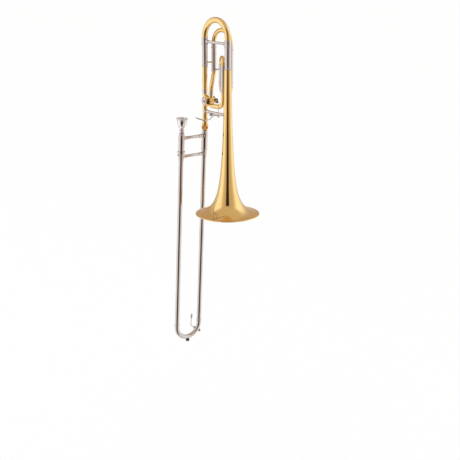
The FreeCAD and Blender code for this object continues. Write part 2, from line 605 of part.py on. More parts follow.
mouthpiece_receiver = lathe([
    (shank_radius(RECEIVER_TOP) + FIT, RECEIVER_TOP), (7.9, RECEIVER_TOP), (7.9, RECEIVER_TOP - 3),
    (7.2, RECEIVER_TOP - 4), (7.2, BARREL_STEP), (shank_radius(SHANK_END) - 0.6, BARREL_STEP),
    (shank_radius(SHANK_END) - 0.6, SHANK_END - 1), (shank_radius(SHANK_END) + FIT, SHANK_END - 1)],
    MOUTH_SIDE)
CUP_TOP, RIM_RADIUS = 22.0, 19.4
mouthpiece = lathe([
    (15.4, CUP_TOP), (17.8, CUP_TOP - 0.6), (RIM_RADIUS, CUP_TOP - 2.4), (RIM_RADIUS, CUP_TOP - 4.2),
    (17.4, CUP_TOP - 6), (16.6, CUP_TOP - 10), (15.6, CUP_TOP - 18), (12.6, CUP_TOP - 26),
    (8.6, CUP_TOP - 32), (SHANK_TOP_RADIUS, SHANK_TOP), (SHANK_END_RADIUS, SHANK_END),
    (4.4, SHANK_END), (3.6, CUP_TOP - 34), (3.5, CUP_TOP - 28), (6.5, CUP_TOP - 23),
    (9.8, CUP_TOP - 17), (12.0, CUP_TOP - 9), (12.8, CUP_TOP - 3), (13.6, CUP_TOP - 0.8)],
    MOUTH_SIDE)


def slide_brace(height, bar, foot, neighbour_radius):
    neighbours = [rod(side - Z_AXIS * 200, side, neighbour_radius) for side in SIDES]
    bar_solid, feet = brace(NECK_SIDE + Z_AXIS * height, MOUTH_SIDE + Z_AXIS * height, bar, foot,
                            19, neighbour_radius - 4.2, neighbours)
    return group(bar_solid, *feet.Solids)


inner_brace = slide_brace(INNER_BRACE_Z, 5.2, 8.4, BARREL_RADIUS)

# ---- hand slide: lock ring ----
LOCK_LOW, LOCK_HIGH = -97.5, -91.5
LOCK_OUTER = 12.6
LOCK_TURN = 45.0                # degrees from the hook to the stud that it catches
STUD_ANGLE = 270.0              # where the stud points, about the mouth-side tube


def wedge(low, high, inner, outer, first, last):
    """Part of a ring about the mouth-side tube, between two angles."""
    ring = tube(MOUTH_SIDE + Z_AXIS * low, MOUTH_SIDE + Z_AXIS * high, outer, inner)
    slice_box = Part.makeCylinder(outer + 5, high - low, MOUTH_SIDE + Z_AXIS * low, Z_AXIS,
                                  last - first)
    slice_box.rotate(MOUTH_SIDE, Z_AXIS, first)
    return ring.common(slice_box)


hook_at = STUD_ANGLE - LOCK_TURN
slide_lock_ring = together(
    tube(MOUTH_SIDE + Z_AXIS * LOCK_LOW, MOUTH_SIDE + Z_AXIS * LOCK_HIGH, LOCK_OUTER,
         RING_RADIUS + FIT),
    wedge(STUD_Z - 5.5, LOCK_LOW + 1, RING_RADIUS + FIT, LOCK_OUTER, hook_at - 24, hook_at - 12),
    wedge(STUD_Z - 5.5, STUD_Z - 2.2, RING_RADIUS + FIT, LOCK_OUTER, hook_at - 24, hook_at + 10))

# ---- hand slide: outer part ----
TOP_SLEEVE_FOOT = -124.0
TOP_SLEEVE = 8.5
outer_tubes = group(*[tube(side + Z_AXIS * OUTER_TOP, side + Z_AXIS * (CROOK_START + 5), OUTER_TUBE,
                           OUTER_TUBE - OUTER_WALL) for side in SIDES])
stud_out = Vec(math.cos(math.radians(STUD_ANGLE)), math.sin(math.radians(STUD_ANGLE)), 0)
stud_base = MOUTH_SIDE + Z_AXIS * STUD_Z
top_sleeves = [lathe([(OUTER_TUBE, OUTER_TOP), (TOP_SLEEVE, OUTER_TOP),
                      (TOP_SLEEVE, TOP_SLEEVE_FOOT + 3), (OUTER_TUBE + 0.5, TOP_SLEEVE_FOOT),
                      (OUTER_TUBE, TOP_SLEEVE_FOOT)], side) for side in SIDES]
stud = rod(stud_base, stud_base + stud_out * 12.4, 1.5).cut(
    rod(stud_base - Z_AXIS * 9, stud_base + Z_AXIS * 9, TOP_SLEEVE))
outer_top_sleeves = group(top_sleeves[0], top_sleeves[1].fuse(stud))
outer_brace = slide_brace(OUTER_BRACE_Z, 4.9, 7.8, TOP_SLEEVE)

end_join = CROOK_START + 5          # the outer tubes end and the crook begins inside the ferrules
end_path = half_turn(NECK_SIDE + Z_AXIS * end_join, MOUTH_SIDE + Z_AXIS * end_join, Z_AXIS * -1, 5)
end_solid = sweep(end_path, OUTER_TUBE)
end_crook = end_solid.cut(sweep(end_path, OUTER_TUBE - WALL))
crook_ferrules = group(*[
    lathe([(OUTER_TUBE, CROOK_START + 12), (8.4, CROOK_START + 12), (8.9, CROOK_START + 10),
           (8.9, CROOK_START + 2), (8.4, CROOK_START), (OUTER_TUBE, CROOK_START)], side)
    for side in SIDES])
BUMPER_TOP = BUMPER_FOOT + 15
slide_bumper = lathe([(0, BUMPER_TOP), (5.5, BUMPER_TOP), (5.5, BUMPER_FOOT + 7.5),
                      (6.6, BUMPER_FOOT + 7), (6.6, BUMPER_FOOT + 1.5), (5.4, BUMPER_FOOT),
                      (0, BUMPER_FOOT)], MOUTH_SIDE * 0.5).cut(end_solid)

# ---- water key: x is sideways from the crook, y outwards and z along it ----
crook_for_key = placed(KEY_FRAME.inverse(), placed(SLIDE_FRAME, end_solid))
key_pivot = Vec(KEY_PIVOT_X, 0, 0)
key_pin = rod(key_pivot - Z_AXIS * 5.8, key_pivot + Z_AXIS * 5.8, KEY_PIN_RADIUS)
key_posts = [block(Vec(KEY_PIVOT_X - 2.2, -2.3, low), Vec(-5, 2.3, low + 1.6)) for low in (-5.4, 3.8)]
nipple = tube(Y_AXIS * 5, Y_AXIS * NIPPLE_TOP, 3.3, 1.8)
water_key_saddle = group(*[post.cut([crook_for_key, key_pin]) for post in key_posts], key_pin,
                         nipple.cut(crook_for_key))
CORK_TOP = NIPPLE_TOP + 3.4
water_key_cork = rod(Y_AXIS * (NIPPLE_TOP + FIT), Y_AXIS * CORK_TOP, 4.6)
key_hub = rod(key_pivot - Z_AXIS * 3.5, key_pivot + Z_AXIS * 3.5, 2.3)
key_cup = lathe([(0, 0), (3.8, 0), (3.8, 1.0), (2.5, 2.2), (0, 2.2)], Y_AXIS * CORK_TOP, Y_AXIS)
cup_arm = sweep(route([key_pivot + Y_AXIS, Vec(KEY_PIVOT_X, CORK_TOP + 2, 0),
                       Y_AXIS * (CORK_TOP + 2)], [7]), 1.2)


def in_key_frame(x, y, above_crook):
    """Point given in the slide's frame, from the height where the end crook begins."""
    return KEY_FRAME.inverse().multVec(SLIDE_FRAME.multVec(Vec(x, y, CROOK_START + above_crook)))


touch_knee = in_key_frame(-11, -27.5, -14)
touch_tip = in_key_frame(-9, -26.5, 29)
touch_arm = sweep(route([key_pivot - Y_AXIS, touch_knee, touch_tip], [8]), 1.3)
touch_along = (touch_tip - touch_knee).normalize()
touch_pad = rod(touch_tip - touch_along * 14, touch_tip + touch_along * 2, 3.2)
touch_pad = touch_pad.common(block(touch_tip - Vec(1.1, 40, 40), touch_tip + Vec(1.1, 40, 40)))
water_key = together(key_hub, key_cup, cup_arm, touch_arm, touch_pad).cut(
    rod(key_pivot - Z_AXIS * 9, key_pivot + Z_AXIS * 9, KEY_PIN_RADIUS + FIT))
water_key_spring = group(*[
    Part.makeTorus(2.8, 0.35, key_pivot + Z_AXIS * side * (2.0 + 0.7 * turn), Z_AXIS)
    for side in (-1, 1) for turn in range(3)])

# ---- files ----
BELL_SECTION = {
    "bell": bell, "bell_tail": bell_tail, "rim_wire": rim_wire, "bell_brace": bell_brace,
    "bell_brace_flanges": bell_brace_flanges, "main_sleeve_left": main_sleeve_left,
    "main_sleeve_right": main_sleeve_right, "main_out_tube": main_out_tube, "neckpipe": neckpipe,
    "valve_casing": valve_casing, "valve_cap": valve_cap, "bearing_plate": bearing_plate,
    "stop_bumpers": stop_bumpers, "f_feed_tube": f_feed_tube,
    "f_sleeves": f_sleeves, "f_lower_bow": f_lower_bow,
    "small_sleeve_d": small_sleeve_d, "small_sleeve_e": small_sleeve_e,
    "f_return_tube": f_return_tube, "tube_ferrules": tube_ferrules, "wrap_stays": wrap_stays,
    "lever_saddle": lever_saddle, "lever_spring": lever_spring}
TUNING_SLIDES = {
    "tuning_crook": tuning_crook, "tuning_legs": tuning_legs, "tuning_ferrules": tuning_ferrules,
    "tuning_brace": tuning_brace, "tuning_brace_flanges": tuning_brace_flanges,
    "f_crook": f_crook, "f_legs": f_legs, "f_crook_ferrules": f_crook_ferrules,
    "small_crook": small_crook, "small_legs": small_legs,
    "small_crook_ferrules": small_crook_ferrules}
VALVE_ACTION = {
    "rotor": rotor, "stop_arm": stop_arm, "stop_screws": stop_screws, "link_rod": link_rod,
    "thumb_lever": thumb_lever, "thumb_paddle": thumb_paddle}
HAND_SLIDE = {
    "neckpipe_receiver": neckpipe_receiver, "bell_lock_nut": bell_lock_nut,
    "slide_tenon": slide_tenon, "inner_tubes": inner_tubes, "cork_barrels": cork_barrels,
    "barrel_corks": barrel_corks, "inner_brace": inner_brace,
    "mouthpiece_receiver": mouthpiece_receiver, "mouthpiece": mouthpiece,
    "slide_lock_ring": slide_lock_ring, "outer_tubes": outer_tubes,
    "outer_top_sleeves": outer_top_sleeves, "outer_brace": outer_brace, "end_crook": end_crook,
    "crook_ferrules": crook_ferrules, "slide_bumper": slide_bumper}
WATER_KEY = {
    "water_key_saddle": water_key_saddle, "water_key": water_key,
    "water_key_cork": water_key_cork, "water_key_spring": water_key_spring}

os.makedirs("parts", exist_ok=True)
for nodes in (BELL_SECTION, TUNING_SLIDES, VALVE_ACTION):
    for node, shape in nodes.items():
        save(node, shape)
for node, shape in HAND_SLIDE.items():
    save_in(SLIDE_FRAME, node, shape)
for node, shape in WATER_KEY.items():
    save_in(KEY_FRAME, node, shape)
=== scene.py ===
import math

import bmesh
import bpy
from mathutils import Matrix, Vector


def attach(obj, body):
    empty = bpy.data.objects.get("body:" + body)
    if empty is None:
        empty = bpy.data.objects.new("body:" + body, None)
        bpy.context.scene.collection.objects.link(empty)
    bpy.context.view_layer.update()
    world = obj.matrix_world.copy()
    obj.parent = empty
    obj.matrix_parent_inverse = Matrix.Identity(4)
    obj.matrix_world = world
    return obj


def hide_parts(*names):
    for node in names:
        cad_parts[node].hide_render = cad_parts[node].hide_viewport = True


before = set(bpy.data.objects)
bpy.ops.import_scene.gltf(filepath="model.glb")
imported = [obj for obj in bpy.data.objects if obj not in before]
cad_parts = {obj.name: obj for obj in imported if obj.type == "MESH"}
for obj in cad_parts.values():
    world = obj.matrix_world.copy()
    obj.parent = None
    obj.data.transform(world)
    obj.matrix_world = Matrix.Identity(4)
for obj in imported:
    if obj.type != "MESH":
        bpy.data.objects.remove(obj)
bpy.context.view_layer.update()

# ---- studio ---------------------------------------------------------------------------------
# A pale floor and a white tent of soft light, open in a narrow gap on the camera's side. The gap
# is what draws the dark line down every polished tube.
VIEW_AZIMUTH = math.radians(49.22)
VIEW_ELEVATION = math.radians(16.57)
VIEW_ROLL = math.radians(0.19)
VIEW_POINT = (2.6009, -2.2321, 0.9627)
FOCAL_LENGTH = 82.17
camera_data = bpy.data.cameras.new("camera")
camera_data.sensor_width = 36.0
camera_data.lens = FOCAL_LENGTH
camera_data.clip_end = 200.0
camera = bpy.data.objects.new("camera", camera_data)
camera.matrix_world = (
    Matrix.Translation(VIEW_POINT)
    @ Matrix.Rotation(VIEW_AZIMUTH, 4, "Z")
    @ Matrix.Rotation(math.pi / 2 - VIEW_ELEVATION, 4, "X")
    @ Matrix.Rotation(VIEW_ROLL, 4, "Z"))
bpy.context.collection.objects.link(camera)
bpy.context.scene.camera = camera
bpy.context.scene.view_settings.view_transform = "Standard"


def place(tree, kind, sockets=None, **settings):
    """Add a node, set its properties, and link or set its named sockets."""
    node = tree.nodes.new(kind)
    for key, value in settings.items():
        setattr(node, key, value)
    for key, value in (sockets or {}).items():
        if isinstance(value, bpy.types.NodeSocket):
            tree.links.new(value, node.inputs[key])
        else:
            node.inputs[key].default_value = value
    return node


def calc(tree, operation, *values):
    """The result of one Math node."""
    return place(tree, "ShaderNodeMath", dict(enumerate(values)), operation=operation).outputs[0]


def smooth_step(tree, value, low, high, start=0.0, end=1.0):
    """A level that eases from start to end as the value goes from low to high."""
    return place(tree, "ShaderNodeMapRange",
                 {"Value": value, "From Min": low, "From Max": high, "To Min": start,
                  "To Max": end}, interpolation_type="SMOOTHSTEP").outputs["Result"]


def ramp(tree, value, stops):
    """Colour ramp through (position, grey level or colour) stops."""
    node = place(tree, "ShaderNodeValToRGB", {"Fac": value})
    elements = node.color_ramp.elements
    while len(elements) < len(stops):
        elements.new(0.5)
    for element, (position, level) in zip(elements, stops):
        element.position = position
        element.color = (*(level if isinstance(level, tuple) else (level,) * 3), 1)
    return node.outputs["Color"]


def blended(tree, factor, first, second):
    """The colour between two colours, each given or linked."""
    node = place(tree, "ShaderNodeMix", {"Factor": factor}, data_type="RGBA")
    for number, value in ((6, first), (7, second)):
        if isinstance(value, bpy.types.NodeSocket):
            tree.links.new(value, node.inputs[number])
        else:
            node.inputs[number].default_value = (*value, 1)
    return node.outputs[2]


world = bpy.data.worlds.new("studio")
bpy.context.scene.world = world
world.use_nodes = True
tent = world.node_tree
tent.nodes.clear()
direction = place(tent, "ShaderNodeTexCoord").outputs["Generated"]
towards = place(tent, "ShaderNodeVectorMath",
                {0: direction, 1: (math.sin(VIEW_AZIMUTH), -math.cos(VIEW_AZIMUTH), 0)},
                operation="DOT_PRODUCT").outputs["Value"]
across = place(tent, "ShaderNodeVectorMath",
               {0: direction, 1: (math.cos(VIEW_AZIMUTH), math.sin(VIEW_AZIMUTH), 0)},
               operation="DOT_PRODUCT").outputs["Value"]
height = place(tent, "ShaderNodeSeparateXYZ", {0: direction}).outputs["Z"]
turn = calc(tent, "DEGREES", calc(tent, "ARCTAN2", across, towards))
rise = calc(tent, "DEGREES", calc(tent, "ARCSINE", height))
# The gap narrows upwards. Its ramp's full level stands for GAP_SCALE degrees, and the ramp runs
# from NARROWING_FROM degrees below the horizon over NARROWING_SPAN degrees.
GAP_SCALE = 60.0
NARROWING_FROM, NARROWING_SPAN = 20.0, 70.0
upwards = calc(tent, "DIVIDE", calc(tent, "ADD", rise, NARROWING_FROM), NARROWING_SPAN)
gap = calc(tent, "MULTIPLY", GAP_SCALE,
           ramp(tent, upwards, [(0.0, 0.45), (0.10, 0.41), (0.21, 0.31), (0.36, 0.245),
                                (0.60, 0.235), (0.93, 0.235)]))
past_edge = calc(tent, "SUBTRACT", calc(tent, "ABSOLUTE", turn), gap)
covered = smooth_step(tent, past_edge, -3.0, 5.0)
for closes_from, closed_at in ((42.0, 48.0), (-66.0, -76.0)):
    covered = calc(tent, "MAXIMUM", covered, smooth_step(tent, rise, closes_from, closed_at))
# The left wall stands nearer to the camera than the right one, by LEAN degrees.
LEAN = 8.0
BRIGHTEST = 1.35
leaning = calc(tent, "ABSOLUTE", calc(tent, "SUBTRACT", turn, LEAN))
walls = ramp(tent, calc(tent, "DIVIDE", leaning, 180.0),
             [(0.20, (0.46, 0.40, 0.33)), (0.30, (0.56, 0.51, 0.44)), (0.42, 0.87), (0.55, 0.94),
              (0.66, 0.80), (0.80, (0.52, 0.50, 0.49)), (1.0, (0.36, 0.32, 0.31))])
FAR_WALL = (0.40, 0.32, 0.25)
walls = blended(tent, calc(tent, "MULTIPLY", smooth_step(tent, leaning, 125.0, 165.0),
                           smooth_step(tent, rise, -6.0, 10.0)), walls, FAR_WALL)
ROOF, GROUND = (0.50, 0.44, 0.36), (0.74, 0.70, 0.68)
cloth = blended(tent, smooth_step(tent, rise, 40.0, 58.0), walls, ROOF)
cloth = blended(tent, smooth_step(tent, rise, -34.0, -52.0), cloth, GROUND)
cloth = place(tent, "ShaderNodeVectorMath", {0: cloth, "Scale": BRIGHTEST},
              operation="SCALE").outputs[0]
GAP_COLOUR = (0.035, 0.018, 0.010)
drawn = blended(tent, covered, GAP_COLOUR, cloth)
SOFT_LIGHT = 1.04
seen = place(tent, "ShaderNodeLightPath")
light = place(tent, "ShaderNodeBackground", {
    "Color": blended(tent, seen.outputs["Is Glossy Ray"], (SOFT_LIGHT,) * 3, drawn)})
place(tent, "ShaderNodeOutputWorld", {"Surface": light.outputs[0]})

FLOOR_HEIGHT = -1.15
FLOOR_HALF = 40.0
floor_mesh = bpy.data.meshes.new("floor")
floor_mesh.from_pydata([(x * FLOOR_HALF, y * FLOOR_HALF, FLOOR_HEIGHT)
                        for x, y in ((-1, -1), (1, -1), (1, 1), (-1, 1))], [], [(0, 1, 2, 3)])
floor = bpy.data.objects.new("floor", floor_mesh)
bpy.context.collection.objects.link(floor)
floor.visible_glossy = False
paper = bpy.data.materials.new("floor_paper")
paper.use_nodes = True
paper.node_tree.nodes["Principled BSDF"].inputs["Roughness"].default_value = 0.9
speck = place(paper.node_tree, "ShaderNodeTexNoise", {"Scale": 3.0})
paper.node_tree.links.new(
    smooth_step(paper.node_tree, speck.outputs["Fac"], 0.0, 1.0, 0.96, 0.99),
    paper.node_tree.nodes["Principled BSDF"].inputs["Base Color"])
floor_mesh.materials.append(paper)

# ---- bell -----------------------------------------------------------------------------------
# One sheet of brass, spun to a flare over a mandrel and rolled over a steel wire at its rim, then
# buffed bright and lacquered.
MM = 0.001


def socket(tree, name, kind, value=None, side="INPUT"):
    """Give a tree a named input or output."""
    made = tree.interface.new_socket(name, in_out=side, socket_type="NodeSocket" + kind)
    if value is not None:
        made.default_value = value
    return made


def surface_group():
    """Handling marks on polished metal: smears, fine scratches and a lacquer's orange peel."""
    tree = bpy.data.node_groups.new("handled_metal", "ShaderNodeTree")
    socket(tree, "Colour", "Color", (0.8, 0.8, 0.8, 1))
    socket(tree, "Shade", "Color", (0.7, 0.7, 0.7, 1))
    socket(tree, "Bright roughness", "Float", 0.05)
    socket(tree, "Smeared roughness", "Float", 0.12)
    socket(tree, "Smear size", "Float", 14.0)
    socket(tree, "Scratch stretch", "Vector", (900.0, 900.0, 60.0))
    socket(tree, "Colour", "Color", side="OUTPUT")
    socket(tree, "Roughness", "Float", side="OUTPUT")
    socket(tree, "Height", "Float", side="OUTPUT")
    given = tree.nodes.new("NodeGroupInput").outputs
    place_in = place(tree, "ShaderNodeTexCoord").outputs["Object"]
    smear = place(tree, "ShaderNodeTexNoise", {"Vector": place_in, "Scale": given["Smear size"],
                                               "Detail": 5.0, "Roughness": 0.6}).outputs["Fac"]
    prints = place(tree, "ShaderNodeTexNoise", {"Vector": place_in, "Scale": 160.0,
                                                "Detail": 2.0}).outputs["Fac"]
    cloud = smooth_step(tree, smear, 0.42, 0.72)
    mark = calc(tree, "MULTIPLY", cloud, smooth_step(tree, prints, 0.35, 0.75, 0.5, 1.0))
    stretched = place(tree, "ShaderNodeVectorMath", {0: place_in, 1: given["Scratch stretch"]},
                      operation="MULTIPLY").outputs[0]
    grain = place(tree, "ShaderNodeTexNoise", {"Vector": stretched, "Scale": 1.0,
                                               "Detail": 3.0}).outputs["Fac"]
    hair = smooth_step(tree, grain, 0.60, 0.74)
    peel = place(tree, "ShaderNodeTexNoise", {"Vector": place_in, "Scale": 420.0,
                                              "Detail": 1.0}).outputs["Fac"]
    tone = blended(tree, mark, given["Colour"], given["Shade"])
    worn = calc(tree, "ADD", mark, calc(tree, "MULTIPLY", hair, 0.35))
    rough = place(tree, "ShaderNodeMix", {"Factor": worn, 2: given["Bright roughness"],
                                          3: given["Smeared roughness"]}).outputs[0]
    depth = calc(tree, "ADD", calc(tree, "MULTIPLY", hair, -0.6),
                 calc(tree, "MULTIPLY", peel, 0.5))
    put_out = tree.nodes.new("NodeGroupOutput")
    tree.links.new(tone, put_out.inputs["Colour"])
    tree.links.new(rough, put_out.inputs["Roughness"])
    tree.links.new(depth, put_out.inputs["Height"])
    return tree


HANDLED = surface_group()


def polished(name, colour, shade, bright, smeared, stretch=(900.0, 900.0, 60.0), coat=0.0,
             smear_size=14.0, relief=0.04):
    """Polished metal: colour and its smeared shade, roughness clean and smeared, scratch
    direction, and a clear lacquer of the given weight."""
    material = bpy.data.materials.new(name)
    material.use_nodes = True
    tree = material.node_tree
    shader = tree.nodes["Principled BSDF"]
    marks = place(tree, "ShaderNodeGroup", node_tree=HANDLED)
    marks.inputs["Colour"].default_value = (*colour, 1)
    marks.inputs["Shade"].default_value = (*shade, 1)
    marks.inputs["Bright roughness"].default_value = bright
    marks.inputs["Smeared roughness"].default_value = smeared
    marks.inputs["Smear size"].default_value = smear_size
    marks.inputs["Scratch stretch"].default_value = stretch
    bump = place(tree, "ShaderNodeBump", {"Height": marks.outputs["Height"], "Strength": relief,
                                          "Distance": 0.0004})
    shader.inputs["Metallic"].default_value = 1.0
    shader.inputs["Coat Weight"].default_value = coat
    shader.inputs["Coat Roughness"].default_value = 0.04
    tree.links.new(marks.outputs["Colour"], shader.inputs["Base Color"])
    tree.links.new(marks.outputs["Roughness"], shader.inputs["Roughness"])
    tree.links.new(bump.outputs["Normal"], shader.inputs["Normal"])
    return material


LACQUERED_BRASS = polished("lacquered_brass", (0.90, 0.63, 0.27), (0.84, 0.56, 0.22), 0.07, 0.16,
                           coat=0.12)
SPUN_BRASS = polished("spun_brass", (0.90, 0.63, 0.27), (0.84, 0.56, 0.22), 0.07, 0.15,
                      stretch=(60.0, 60.0, 1400.0), coat=0.12, smear_size=9.0)


def evaluated(source):
    """Plain mesh of an object with its modifiers worked out; the source is taken away."""
    graph = bpy.context.evaluated_depsgraph_get()
    mesh = bpy.data.meshes.new_from_object(source.evaluated_get(graph), depsgraph=graph)
    bpy.data.objects.remove(source)
    return mesh


SHARP_EDGE = math.radians(38)


def piece(name, mesh, material, body, slot, *nodes):
    """A finished piece: smooth shaded, riding its body and standing for its frame nodes."""
    mesh.name = name
    mesh.materials.clear()
    mesh.materials.append(material)
    mesh.polygons.foreach_set("material_index", [0] * len(mesh.polygons))
    mesh.shade_smooth()
    mesh.set_sharp_from_angle(angle=SHARP_EDGE)
    made = bpy.data.objects.new(name, mesh)
    bpy.context.collection.objects.link(made)
    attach(made, body)
    if nodes:
        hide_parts(*nodes)
    return made


def helper_object(name, mesh):
    """An object that only carries modifiers for a while."""
    made = bpy.data.objects.new(name, mesh)
    bpy.context.collection.objects.link(made)
    return made


def geometry_tree(name, inputs):
    """Empty Geometry Nodes tree with named inputs; gives the tree and its input sockets."""
    tree = bpy.data.node_groups.new(name, "GeometryNodeTree")
    socket(tree, "Geometry", "Geometry")
    for label, kind, value in inputs:
        socket(tree, label, kind, value)
    socket(tree, "Geometry", "Geometry", side="OUTPUT")
    return tree, tree.nodes.new("NodeGroupInput").outputs


def end_tree(tree, geometry, material):
    """Make the tree's result real, smooth and painted, and put it out."""
    real = place(tree, "GeometryNodeRealizeInstances", {"Geometry": geometry}).outputs[0]
    smooth = place(tree, "GeometryNodeSetShadeSmooth", {"Geometry": real}).outputs[0]
    last = place(tree, "GeometryNodeSetMaterial", {"Geometry": smooth, "Material": material})
    out = tree.nodes.new("NodeGroupOutput")
    tree.links.new(last.outputs[0], out.inputs[0])


def run_tree(tree, mesh, values):
    """Plain mesh that the tree makes from a mesh, with inputs given by name."""
    source = helper_object("source", mesh)
    modifier = source.modifiers.new("nodes", "NODES")
    modifier.node_group = tree
    for item in tree.interface.items_tree:
        if item.in_out == "INPUT" and item.name in values:
            modifier[item.identifier] = values[item.name]
    return evaluated(source)


SAME_POINT = 2e-5


def point_outwards(mesh, inside):
    """Turn every face over if the one nearest to the inside point faces it."""
    shape = bmesh.new()
    shape.from_mesh(mesh)
    bmesh.ops.remove_doubles(shape, verts=shape.verts, dist=SAME_POINT)
    shape.normal_update()
    face = min(shape.faces, key=lambda each: (each.calc_center_median() - inside).length)
    if face.normal.dot(face.calc_center_median() - inside) < 0:
        bmesh.ops.reverse_faces(shape, faces=shape.faces)
    shape.to_mesh(mesh)
    shape.free()
    return mesh


def with_wall(mesh, wall):
    """Give an open skin its thickness, inwards."""
    source = helper_object("skin", mesh)
    thick = source.modifiers.new("wall", "SOLIDIFY")
    thick.thickness = wall
    thick.offset = -1
    thick.use_even_offset = True
    return evaluated(source)


flare, given = geometry_tree("bell_flare", [
    ("Mouth radius", "Float", 0.108), ("Flare scale", "Float", 0.016),
    ("Flare power", "Float", 0.65), ("Bead radius", "Float", 0.0018),
    ("Top height", "Float", 0.488), ("Rings", "Int", 120), ("Sides", "Int", 193)])
grid = place(flare, "GeometryNodeMeshGrid", {"Size X": 1.0, "Size Y": 1.0,
                                             "Vertices X": given["Rings"],
                                             "Vertices Y": given["Sides"]})
spot = place(flare, "ShaderNodeSeparateXYZ",
             {0: place(flare, "GeometryNodeInputPosition").outputs[0]}).outputs
CROWDING = 2.6                  # draws the rings together where the flare turns out to the rim
along = calc(flare, "POWER", calc(flare, "ADD", spot[0], 0.5), CROWDING)
above = calc(flare, "MULTIPLY", along, calc(flare, "SUBTRACT", given["Top height"],
                                            given["Bead radius"]))
reach = calc(flare, "MULTIPLY", given["Mouth radius"], calc(
    flare, "POWER", calc(flare, "ADD", 1.0, calc(flare, "DIVIDE", above, given["Flare scale"])),
    calc(flare, "MULTIPLY", given["Flare power"], -1.0)))
angle = calc(flare, "MULTIPLY", spot[1], math.tau)
moved = place(flare, "ShaderNodeCombineXYZ", {
    "X": calc(flare, "MULTIPLY", reach, calc(flare, "COSINE", angle)),
    "Y": calc(flare, "MULTIPLY", reach, calc(flare, "SINE", angle)),
    "Z": calc(flare, "ADD", above, given["Bead radius"])}).outputs[0]
shaped = place(flare, "GeometryNodeSetPosition", {"Geometry": grid.outputs["Mesh"],
                                                  "Position": moved}).outputs[0]
closed = place(flare, "GeometryNodeMergeByDistance", {"Geometry": shaped,
                                                      "Distance": 1e-6}).outputs[0]
end_tree(flare, closed, SPUN_BRASS)

SEED_POINT = bpy.data.meshes.new("seed")
SEED_POINT.from_pydata([(0, 0, 0)], [], [])
bell_skin = run_tree(flare, SEED_POINT, {"Mouth radius": 0.10795, "Top height": 0.4875})
WALL = 0.9
bell_skin = with_wall(point_outwards(bell_skin, Vector((0, 0, 0))), WALL * MM)


def softened(outline, soft):
    """Round every corner of a closed (radius, height) outline and keep the flats flat."""
    points = []
    count = len(outline)
    for i, corner in enumerate(outline):
        here = Vector(corner[:2])
        own = corner[2] if len(corner) > 2 else soft
        back = Vector(outline[i - 1][:2]) - here
        ahead = Vector(outline[(i + 1) % count][:2]) - here
        bend = math.pi - back.angle(ahead)
        if own <= 0 or bend < math.radians(12) or here.x < 1e-6:
            points.append(here)
            continue
        cut = min(own * math.tan(bend / 2), back.length * 0.42, ahead.length * 0.42)
        first, last = here + back.normalized() * cut, here + ahead.normalized() * cut
        margin = min(cut, back.length * 0.06)
        points.append(first + back.normalized() * margin)
        for step in range(5):
            t = step / 4
            points.append(first * (1 - t) ** 2 + here * 2 * t * (1 - t) + last * t ** 2)
        points.append(last + ahead.normalized() * min(cut, ahead.length * 0.06))
    return points


FACETS_PER_FLUTE = 8


def turned(outline, base=(0, 0, 0), axis=(0, 0, 1), sides=72, soft=0.3, flutes=None):
    """Mesh of an outline in millimetres turned about an axis. flutes = (count, depth, low, high)
    sinks grooves in the outer wall between two heights."""
    profile = softened(outline, soft)
    area = sum(a.x * b.y - b.x * a.y for a, b in zip(profile, profile[1:] + profile[:1]))
    if area < 0:
        profile.reverse()
    if flutes:
        sides = flutes[0] * FACETS_PER_FLUTE
    shape = bmesh.new()
    rings = []
    for point in profile:
        if point.x < 1e-6:
            rings.append([shape.verts.new((0, 0, point.y * MM))])
            continue
        ring = []
        for k in range(sides):
            radius = point.x
            turn_to = math.tau * k / sides
            if flutes and flutes[2] <= point.y <= flutes[3]:
                radius -= flutes[1] * (0.5 + 0.5 * math.cos(turn_to * flutes[0]))
            ring.append(shape.verts.new((radius * MM * math.cos(turn_to),
                                         radius * MM * math.sin(turn_to), point.y * MM)))
        rings.append(ring)
    for lower, upper in zip(rings, rings[1:] + rings[:1]):
        for k in range(sides):
            n = (k + 1) % sides
            if len(lower) == 1 and len(upper) == 1:
                break
            if len(lower) == 1:
                shape.faces.new((lower[0], upper[n], upper[k]))
            elif len(upper) == 1:
                shape.faces.new((lower[k], lower[n], upper[0]))
            else:
                shape.faces.new((lower[k], lower[n], upper[n], upper[k]))
    bmesh.ops.remove_doubles(shape, verts=shape.verts, dist=1e-8)
    mesh = bpy.data.meshes.new("turned")
    shape.to_mesh(mesh)
    shape.free()
    upright = Vector(axis).normalized()
    spin = Vector((0, 0, 1)).rotation_difference(upright).to_matrix().to_4x4()
    mesh.transform(Matrix.Translation(Vector(base) * MM) @ spin)
    return mesh


def joined(*meshes):
    """One mesh from several, each kept whole."""
    shape = bmesh.new()
    for mesh in meshes:
        shape.from_mesh(mesh)
    whole = bpy.data.meshes.new("joined")
    shape.to_mesh(whole)
    shape.free()
    return whole


BEAD, RIM, BEAD_STEPS = 1.8, 108, 24
rolled_rim = turned([(RIM - BEAD + BEAD * math.cos(math.tau * k / BEAD_STEPS),
                      BEAD + BEAD * math.sin(math.tau * k / BEAD_STEPS), 0)
                     for k in range(BEAD_STEPS)], sides=192)
piece("bell_flare", joined(bell_skin, rolled_rim), SPUN_BRASS, "bell_section",
      "lacquered_brass", "bell", "bell_tail")


def refinish(node, material):
    """New finish for a frame node that is shown as it is."""
    for slot_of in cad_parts[node].material_slots:
        slot_of.material = material


SPRING_STEEL = polished("spring_steel", (0.56, 0.55, 0.54), (0.42, 0.40, 0.38), 0.22, 0.4,
                        stretch=(300.0, 2000.0, 300.0))
refinish("rim_wire", SPRING_STEEL)

